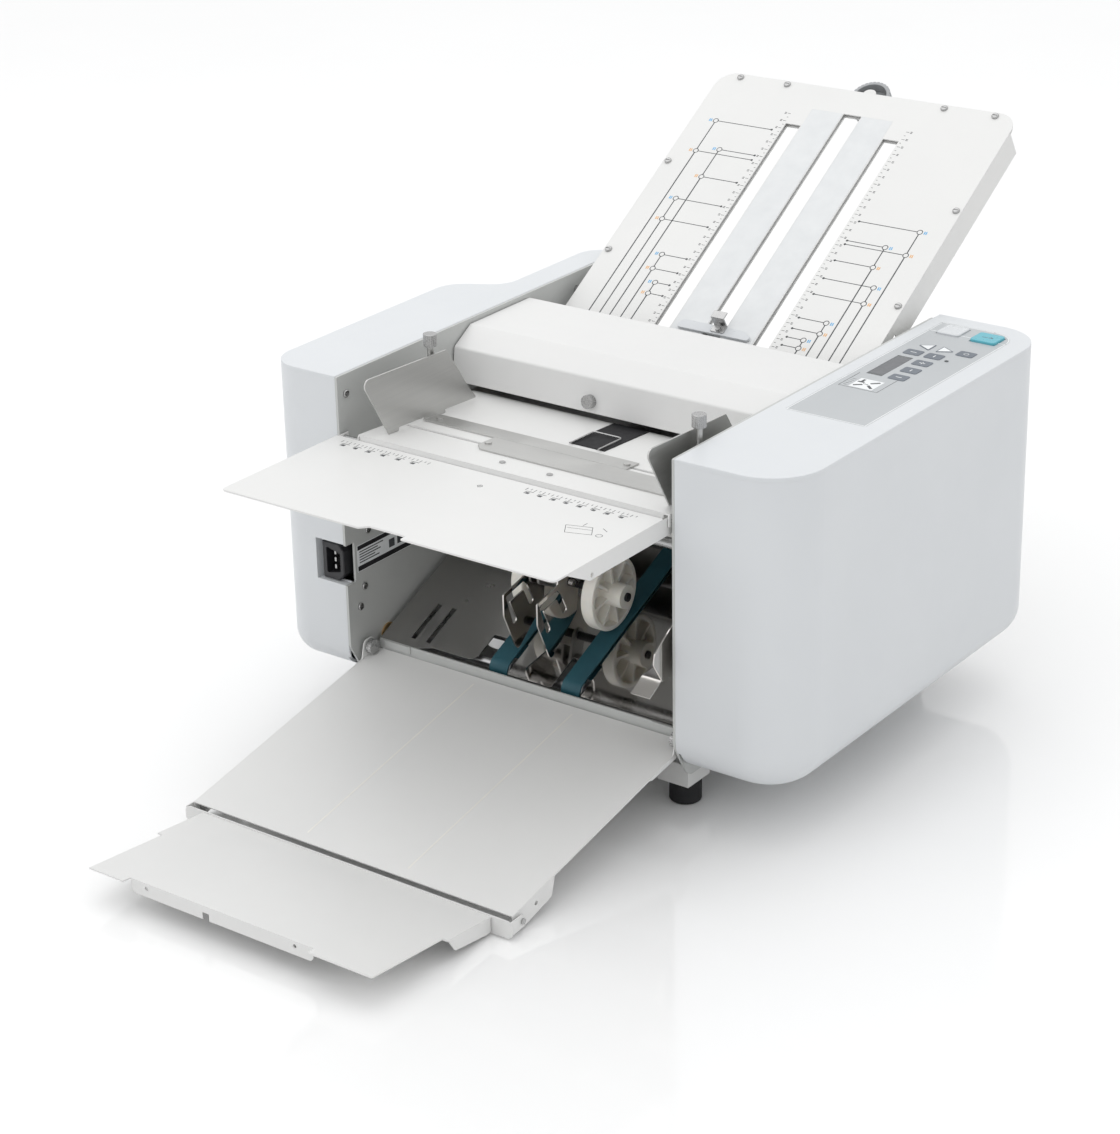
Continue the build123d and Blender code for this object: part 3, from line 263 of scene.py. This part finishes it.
def printed(name, color):
    """Screen print ink, slightly uneven."""
    surface = Surface(name, color, 0.5)
    surface.vary_color(surface.noise(60, 4), 0.03)
    surface.vary_roughness(surface.noise(200, 3), 0.06)
    surface.bump(surface.noise(1800, 2), 0.00002, 0.2)
    return surface.material


def glassy(name, color, roughness=0.08):
    """Smooth clear-coated surface with a faint waviness."""
    surface = Surface(name, color, roughness)
    surface.vary_color(surface.noise(40, 3), 0.05)
    surface.vary_roughness(surface.noise(90, 4), 0.03)
    surface.bump(surface.noise(30, 3), 0.0001, 0.02)
    return surface.set(Coat_Weight=0.6, Coat_Roughness=0.04).material


MATERIALS = {
    "housing_plastic": moulded("housing plastic", (0.655, 0.675, 0.695), 0.36),
    "hood_paint": coated("hood paint", (0.715, 0.715, 0.71)),
    "tray_paint": coated("tray paint", (0.72, 0.72, 0.712)),
    "frame_steel": coated("frame paint", (0.50, 0.51, 0.50), 0.34),
    "brushed_steel": brushed("brushed guide steel", (0.54, 0.54, 0.53), (40, 18, 1500), 0.38),
    "polished_steel": polished("polished steel", (0.64, 0.62, 0.60)),
    "screw_steel": brushed("screw steel", (0.44, 0.44, 0.44), (500, 500, 500), 0.26),
    "black_rubber": rubber("black rubber", (0.018, 0.018, 0.02)),
    "belt_rubber": belt_fabric("delivery belt", (0.012, 0.085, 0.115)),
    "nylon": nylon("cream nylon", (0.91, 0.885, 0.82)),
    "black_plastic": moulded("black plastic", (0.022, 0.022, 0.025), 0.4),
    "grey_plastic": moulded("grey plastic", (0.34, 0.35, 0.36), 0.42),
    "white_plastic": moulded("pale key plastic", (0.63, 0.65, 0.67), 0.3),
    "panel_membrane": moulded("panel membrane", (0.455, 0.475, 0.49), 0.33, 0.00001),
    "key_grey": moulded("key field", (0.13, 0.15, 0.18), 0.36, 0.00001),
    "turquoise": moulded("turquoise key", (0.10, 0.43, 0.52), 0.28),
    "display_glass": glassy("display glass", (0.035, 0.045, 0.05)),
    "bronze_bush": brushed("sintered bronze", (0.62, 0.42, 0.2), (300, 300, 300), 0.4),
    "roller_steel": brushed("ground roller steel", (0.45, 0.45, 0.46), (60, 900, 900), 0.3),
    "board_green": glassy("solder mask", (0.02, 0.16, 0.07), 0.25),
    "motor_paint": coated("motor paint", (0.03, 0.03, 0.034), 0.4),
}
INK_GREY = printed("dark grey print", (0.07, 0.075, 0.08))
INK_BLUE = printed("blue print", (0.10, 0.42, 0.75))
INK_ORANGE = printed("orange print", (0.80, 0.42, 0.15))
INK_WHITE = printed("white print", (0.80, 0.82, 0.83))
# Painted shade: a darker grey-blue for the shade between the fold plate's slots.
PAINTED_SHADE_GREY = printed("painted shade grey", (0.68, 0.695, 0.705))
# Painted highlight: a pale warm tone for the light caught by the delivery tray's creases.
PAINTED_CREASE_HIGHLIGHT = printed("painted crease highlight", (0.80, 0.79, 0.75))
SCREEN_GREY = printed("display grey", (0.150, 0.155, 0.165))
PLATE_BORDER = machine(SATIN_BORDER_X, 0, 0).x
ROLLED_STEEL = part_polished("rolled steel", (0.47, 0.46, 0.45), 0.24, 0.06, PLATE_BORDER)
LABEL_BLACK = printed("label black", (0.012, 0.012, 0.014))


def paint_cad_nodes():
    """Give every CAD node its record's material; the transport plate has its own."""
    for entry in frame["record"]["subparts"]:
        for slot in NODES[entry["node"]].material_slots:
            slot.material = MATERIALS[entry["material_slot"]]
    for slot in NODES["transport_plate"].material_slots:
        slot.material = ROLLED_STEEL


# Mesh helpers

def prism(bm, face, outline, low, high):
    """Closed prism over an outline on a face, between two heights."""
    bottom = [bm.verts.new(face.at(a, b, low)) for a, b in outline]
    top = [bm.verts.new(face.at(a, b, high)) for a, b in outline]
    count = len(outline)
    bm.faces.new(list(reversed(bottom)))
    bm.faces.new(top)
    for i in range(count):
        j = (i + 1) % count
        bm.faces.new((bottom[i], bottom[j], top[j], top[i]))


def bar(x0, y0, x1, y1, width):
    """Outline of a straight stroke."""
    length = math.hypot(x1 - x0, y1 - y0)
    nx = -(y1 - y0) / length * width / 2
    ny = (x1 - x0) / length * width / 2
    return [(x0 - nx, y0 - ny), (x1 - nx, y1 - ny), (x1 + nx, y1 + ny), (x0 + nx, y0 + ny)]


def rect(x0, x1, y0, y1):
    return [(x0, y0), (x1, y0), (x1, y1), (x0, y1)]


def disc(x, y, radius, count=16):
    turns = [math.tau * i / count for i in range(count)]
    return [(x + radius * math.cos(t), y + radius * math.sin(t)) for t in turns]


def ring(x, y, radius, width, count=18):
    """Ring as short strokes that meet end to end."""
    points = disc(x, y, radius, count)
    return [bar(*points[i], *points[(i + 1) % count], width) for i in range(count)]


def box_frame(x0, x1, y0, y1, width):
    """Rectangle of four strokes that don't overlap."""
    half = width / 2
    return [
        bar(x0 - half, y0, x1 + half, y0, width),
        bar(x0 - half, y1, x1 + half, y1, width),
        bar(x0, y0 + half, x0, y1 - half, width),
        bar(x1, y0 + half, x1, y1 - half, width),
    ]


def print_and_paint_light_on(name, face, outlines, material, body="root", low=0.0, high=INK):
    """One piece made of many flat shapes, for print and for painted shade and highlight, between two heights
    over a face.
    """
    bm = bmesh.new()
    for outline in outlines:
        prism(bm, face, outline, low, high)
    bmesh.ops.recalc_face_normals(bm, faces=bm.faces)
    mesh = bpy.data.meshes.new(name)
    bm.to_mesh(mesh)
    bm.free()
    mesh.materials.append(material)
    piece = bpy.data.objects.new(name, mesh)
    bpy.context.scene.collection.objects.link(piece)
    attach(piece, body)


# Print and painted shade on the fold plate

SCALE_X = 65
SCALE_TOP = 32
SCALE_STEP = 5
SCALE_TICKS = 57


def fold_scale(side):
    """Centimetre scale beside one side slot: long ticks and short ones."""
    strokes = []
    x = side * SCALE_X
    for i in range(SCALE_TICKS):
        down = SCALE_TOP + SCALE_STEP * i
        reach = 3.4 if i % 2 == 0 else 1.8
        strokes.append(bar(x, -down, x + side * reach, -down, 0.45))
    return strokes


def fold_digits(side):
    """Short dashes that stand for the figures beside the long ticks."""
    marks = []
    x0, x1 = sorted((side * (SCALE_X + 4.6), side * (SCALE_X + 6.8)))
    for i in range(0, SCALE_TICKS, 2):
        down = SCALE_TOP + SCALE_STEP * i
        marks.append(rect(x0, x1, -down - 1.1, -down - 0.4))
        marks.append(rect(x0, x1, -down + 0.4, -down + 1.1))
    return marks


# Format diagrams: for each line down the plate, its place and the heights of its two arrows.
FOLD_FORMATS = {
    -1: [
        (139.5, 56.2, 98.4),
        (127.0, 161.9, 189.9),
        (115.2, 92.1, 129.7),
        (102.6, 232.5, 251.2),
        (90.6, 267.0, 281.1),
    ],
    1: [
        (139.2, 149.8, 179.6),
        (127.6, 223.6, 243.8),
        (115.0, 174.9, 200.5),
        (103.5, 273.8, 287.2),
        (91.8, 298.0, 308.1),
    ],
}
FOLD_FOOT = 318
ARROW_END = 74
CIRCLE_R = 2.7
CIRCLE_GAP = 2.4


def fold_diagrams(side):
    """Arrows that run from small circles to the scale, and the lines that join the circles."""
    strokes = []
    for reach, first, second in FOLD_FORMATS[side]:
        x = side * reach
        strokes.append(bar(x, -first - CIRCLE_GAP, x, -second + CIRCLE_GAP, 1.1))
        strokes.append(bar(x, -second - CIRCLE_GAP, x, -FOLD_FOOT, 1.3))
        for down in (first, second):
            strokes.append(bar(x - side * CIRCLE_GAP, -down, side * ARROW_END, -down, 0.8))
            strokes.append(disc(side * ARROW_END, -down, 1.3, 8))
            strokes += ring(x, -down, CIRCLE_R, 0.8)
    return strokes


def fold_notes(side, which):
    """Tiny coloured letters beside the circles, as plain dashes."""
    marks = []
    for reach, *downs in FOLD_FORMATS[side]:
        down = downs[which]
        for start in (reach + 4.5, reach + 6.4):
            x0, x1 = sorted((side * start, side * (start + 1.1)))
            marks.append(rect(x0, x1, -down - 1.8, -down + 1.8))
    return marks


def fold_plate_print_and_painted_shade():
    scales = fold_scale(-1) + fold_scale(1) + fold_digits(-1) + fold_digits(1)
    print_and_paint_light_on("fold_plate_scales", FOLD_FACE, scales, INK_GREY)
    print_and_paint_light_on("fold_plate_diagrams", FOLD_FACE, fold_diagrams(-1) + fold_diagrams(1), INK_GREY)
    print_and_paint_light_on("fold_plate_blue_marks", FOLD_FACE, fold_notes(-1, 0) + fold_notes(1, 0), INK_BLUE)
    print_and_paint_light_on("fold_plate_orange_marks", FOLD_FACE, fold_notes(-1, 1) + fold_notes(1, 1), INK_ORANGE)
    # Painted shade: darker grey-blue fields between the slots, standing for the shade that falls there.
    fields = [rect(-45.6, -10.6, -338, -21.6), rect(10.6, 45.2, -338, -21.6)]
    print_and_paint_light_on("fold_plate_painted_shade", FOLD_FACE, fields, PAINTED_SHADE_GREY, high=PAINTED_LIGHT_LIFT)


# Print on the feed tray

def tray_scale(x0, x1, step, corners):
    """Paper width marks: a row of ticks, and filled corner signs of some depth under it."""
    strokes = []
    for i in range(int((x1 - x0) / step) + 1):
        x = x0 + i * step
        reach = 4.5 if i % 2 == 0 else 2.8
        strokes.append(bar(x, -13, x, -13 - reach, 0.6))
    for x, depth in corners:
        strokes.append(bar(x, -19, x + 7, -19, 0.7))
        strokes.append(bar(x, -19, x, -19 - depth, 0.7))
        strokes.append(rect(x + 1.1, x + 4.6, -24.2, -20.8))
    return strokes


def feed_tray_print():
    left_corners = [(-157, 5), (-143, 4), (-128, 6), (-112, 4), (-95, 5), (-79, 4)]
    right_corners = [(44, 5), (57, 4), (71, 6), (84, 4), (98, 5), (112, 4), (126, 6), (140, 4)]
    left = tray_scale(-161, -62, 4.4, left_corners)
    right = tray_scale(41, 155, 4.46, right_corners)
    print_and_paint_light_on("feed_tray_scales", TRAY_FACE, left + right, INK_GREY, "feed_tray")
    sheet = [(114, -60), (136, -53), (144, -66), (122, -73)]
    strokes = [bar(*sheet[i], *sheet[(i + 1) % 4], 0.5) for i in range(4)]
    strokes += [bar(118, -64, 139, -58, 0.4), bar(127, -48, 127, -54, 0.5), bar(151, -54, 144, -50, 0.5)]
    strokes += ring(150, -64, 2.8, 0.5) + ring(4, -32, 2.2, 0.4)
    strokes += [bar(1, -32, 7, -32, 0.35), bar(4, -29, 4, -35, 0.35)]
    print_and_paint_light_on("feed_tray_diagram", TRAY_FACE, strokes, INK_GREY, "feed_tray")


# Print on the control panel

PANEL_EDGES = (194.2, 270.8, 148.2, 415.8)
PANEL_CORNER = (249, 394)
PANEL_CORNER_R = 21.8
LINE = 1.1
KEY_TOP = 0.4            # heights of the keys over the panel
START_TOP = 2.2
STOP_TOP = 1.6


def panel_border():
    """Fine line just inside the panel's edge, round its one wide corner."""
    x0, x1, y0, y1 = PANEL_EDGES
    arc_x, arc_y = PANEL_CORNER
    strokes = box_frame(x0, x1, y0, 392, LINE)
    strokes += [bar(x0, 392, x0, y1, LINE), bar(193.7, y1, 247, y1, LINE)]
    turns = [math.radians(9 * i) for i in range(11)]
    arc = [(arc_x + PANEL_CORNER_R * math.cos(t), arc_y + PANEL_CORNER_R * math.sin(t)) for t in turns]
    strokes += [bar(*a, *b, LINE) for a, b in zip(arc, arc[1:])]
    print_and_paint_light_on("panel_border", PANEL_FACE, strokes, INK_WHITE)


def key_signs():
    """Plus, minus and dash signs on the key fields, and the white of the arrow keys."""
    signs = [rect(x - 3, x + 3, y - 0.5, y + 0.5) for x, y in ((213, 330), (234, 308.5), (235, 266))]
    signs += [rect(x - 0.5, x + 0.5, y - 2.4, y + 2.4) for x, y in ((234, 308.5), (234, 330), (235, 287))]
    signs += ring(255, 350, 2.2, 0.7)
    signs.append([(209.5, 349.5), (220.3, 343.2), (220.3, 355.8)])
    signs.append([(240.5, 349.5), (229.5, 355.8), (229.5, 343.2)])
    print_and_paint_light_on("key_signs", PANEL_FACE, signs, INK_WHITE, low=KEY_TOP, high=KEY_TOP + INK)


def panel_pictogram():
    """Plain sheet-path sign: a white field with thick dark strokes, in a thin open frame."""
    print_and_paint_light_on("panel_pictogram_field", PANEL_FACE, [rect(208.5, 231.5, 225, 248)], INK_WHITE)
    thin = [bar(200, 223, 238, 223, 0.5), bar(238, 223, 238, 259, 0.5), bar(200, 223, 200, 259, 0.5)]
    thin += [bar(202.5, y, 206, y, 0.5) for y in (227, 231, 235, 239, 243)]
    print_and_paint_light_on("panel_pictogram_lines", PANEL_FACE, thin, INK_GREY)
    strokes = [bar(211, 229, 217.5, 234, 2.6), bar(222.5, 239, 229, 245, 2.6)]
    strokes += [bar(223, 234, 229.5, 228, 2.6), bar(217, 236, 222, 236, 1.0)]
    strokes += [rect(210, 216.5, 238, 240.5), rect(212, 214.5, 240.5, 246)]
    print_and_paint_light_on("panel_pictogram", PANEL_FACE, strokes, INK_GREY, low=INK, high=2 * INK)


def push_key_signs():
    """A small arrow on the start key and a frame on the stop key."""
    arrow = [bar(246, 394.8, 257, 394.8, 0.8), bar(257, 394.8, 253.5, 397.6, 0.8)]
    print_and_paint_light_on("start_sign", PANEL_FACE, arrow, MATERIALS["key_grey"], "start_key", START_TOP, START_TOP + 0.08)
    border = box_frame(206, 223.5, 389.5, 408.5, 0.7)
    print_and_paint_light_on("stop_sign", PANEL_FACE, border, INK_WHITE, "stop_key", STOP_TOP, STOP_TOP + 0.08)


def display_screen():
    """Dim read-out field under the display window."""
    field = rect(205.3, 220.2, 264.5, 313.5)
    print_and_paint_light_on("display_screen", PANEL_FACE, [field], SCREEN_GREY, low=-0.2, high=-0.14)


# Labels, small marks and painted crease highlights

LABEL_THICK = 0.25


def rating_label():
    """Plain rating plate: a white sticker with two dark bands and grey lines."""
    print_and_paint_light_on("rating_label", LABEL_FACE, [rect(15, 95, -13, 13)], INK_WHITE, high=LABEL_THICK)
    bands = [rect(15.6, 94.4, 8.2, 12.4), rect(15.6, 94.4, -12.4, -7.6)]
    print_and_paint_light_on("rating_label_bands", LABEL_FACE, bands, LABEL_BLACK, low=LABEL_THICK, high=LABEL_THICK + 0.07)
    rows = [(5.4, 34), (2.8, 26), (0.2, 30), (-2.4, 22), (-5.0, 28)]
    lines = [rect(18, 18 + length, z, z + 1.1) for z, length in rows]
    lines += [rect(60, 68, -4.5, 3.5), rect(72, 80, -4.5, 3.5)]
    print_and_paint_light_on("rating_label_lines", LABEL_FACE, lines, INK_GREY, low=LABEL_THICK, high=LABEL_THICK + 0.05)


def transport_ticks():
    """Short tick row between the two slots of the transport plate."""
    ticks = [bar(-134.5, 12 + 2.5 * i, -132.1, 12 + 2.5 * i, 0.4) for i in range(6)]
    print_and_paint_light_on("transport_plate_ticks", PLATE_FACE, ticks, INK_GREY)


def tray_lines():
    """Two faint light lines along the delivery tray: painted highlight for the light caught by its two
    creases.
    """
    # Painted highlight: light strips where the tray's creases catch the light.
    lines = [rect(x - 0.8, x + 0.8, -228, 8) for x in (-52, 57)]
    print_and_paint_light_on("delivery_tray_crease_highlights", DELIVERY_FACE, lines, PAINTED_CREASE_HIGHLIGHT, "delivery_tray", high=PAINTED_LIGHT_LIFT)


# Stage

CAMERA_PLACE = (1399.2, -1796.0, 854.3)      # machine millimetres
CAMERA_RIGHT = (0.80716, 0.59000, -0.01977)
CAMERA_FORWARD = (-0.54712, 0.73509, -0.40039)
LENS = 91.35
FLOOR_HALF = 14
FLOOR_DROP = 0.0005      # keeps the feet clear of the floor


def make_camera():
    camera = bpy.data.objects.new("camera", bpy.data.cameras.new("camera"))
    bpy.context.scene.collection.objects.link(camera)
    right = Vector(CAMERA_RIGHT).normalized()
    back = -Vector(CAMERA_FORWARD).normalized()
    up = back.cross(right)
    turn = Matrix((right, up, back)).transposed()
    camera.matrix_world = Matrix.Translation(machine(*CAMERA_PLACE)) @ turn.to_4x4()
    camera.data.sensor_width = 36
    camera.data.lens = LENS
    camera.data.clip_end = 60
    bpy.context.scene.camera = camera


def area_light(name, place, target, size, power):
    """Soft box of some size, aimed at a target."""
    light = bpy.data.lights.new(name, "AREA")
    light.shape = "RECTANGLE"
    light.size = size[0]
    light.size_y = size[1]
    light.energy = power
    obj = bpy.data.objects.new(name, light)
    bpy.context.scene.collection.objects.link(obj)
    obj.location = place
    obj.rotation_euler = (Vector(target) - Vector(place)).to_track_quat("-Z", "Y").to_euler()


def make_floor():
    """Pale glossy studio floor."""
    bm = bmesh.new()
    bmesh.ops.create_grid(bm, x_segments=8, y_segments=8, size=FLOOR_HALF)
    mesh = bpy.data.meshes.new("floor")
    bm.to_mesh(mesh)
    bm.free()
    floor = bpy.data.objects.new("floor", mesh)
    floor.location.z = -FLOOR_DROP
    bpy.context.scene.collection.objects.link(floor)
    surface = Surface("pale floor", (0.93, 0.93, 0.93), 0.08)
    surface.vary_color(surface.noise(3, 4), 0.006)
    surface.vary_roughness(surface.noise(5, 4), 0.03)
    surface.bump(surface.noise(1500, 2), 0.00001, 0.1)
    surface.set(Specular_IOR_Level=1.0)
    mesh.materials.append(surface.material)


def make_sky(tree):
    """White surround, brighter overhead than at the horizon."""
    coords = tree.nodes.new("ShaderNodeTexCoord")
    split = tree.nodes.new("ShaderNodeSeparateXYZ")
    ramp = tree.nodes.new("ShaderNodeMapRange")
    ramp.inputs["From Min"].default_value = -0.1
    ramp.inputs["To Min"].default_value = 0.86
    ramp.inputs["To Max"].default_value = 1.12
    tree.links.new(coords.outputs["Generated"], split.inputs["Vector"])
    tree.links.new(split.outputs["Z"], ramp.inputs["Value"])
    tree.links.new(ramp.outputs["Result"], tree.nodes["Background"].inputs["Strength"])
    tree.nodes["Background"].inputs["Color"].default_value = (0.995, 0.998, 1.0, 1)


def make_studio():
    world = bpy.data.worlds.new("studio")
    world.use_nodes = True
    make_sky(world.node_tree)
    bpy.context.scene.world = world
    bpy.context.scene.view_settings.view_transform = "Standard"
    area_light("top softbox", (-0.5, 0.3, 2.6), (0, 0, 0.2), (2.6, 2.6), 13)
    area_light("front softbox", (-1.0, -2.6, 1.5), (0, -0.1, 0.2), (2.2, 1.6), 5)


paint_cad_nodes()
fold_plate_print_and_painted_shade()
feed_tray_print()
panel_border()
key_signs()
panel_pictogram()
push_key_signs()
display_screen()
rating_label()
transport_ticks()
tray_lines()
make_floor()
make_studio()
make_camera()
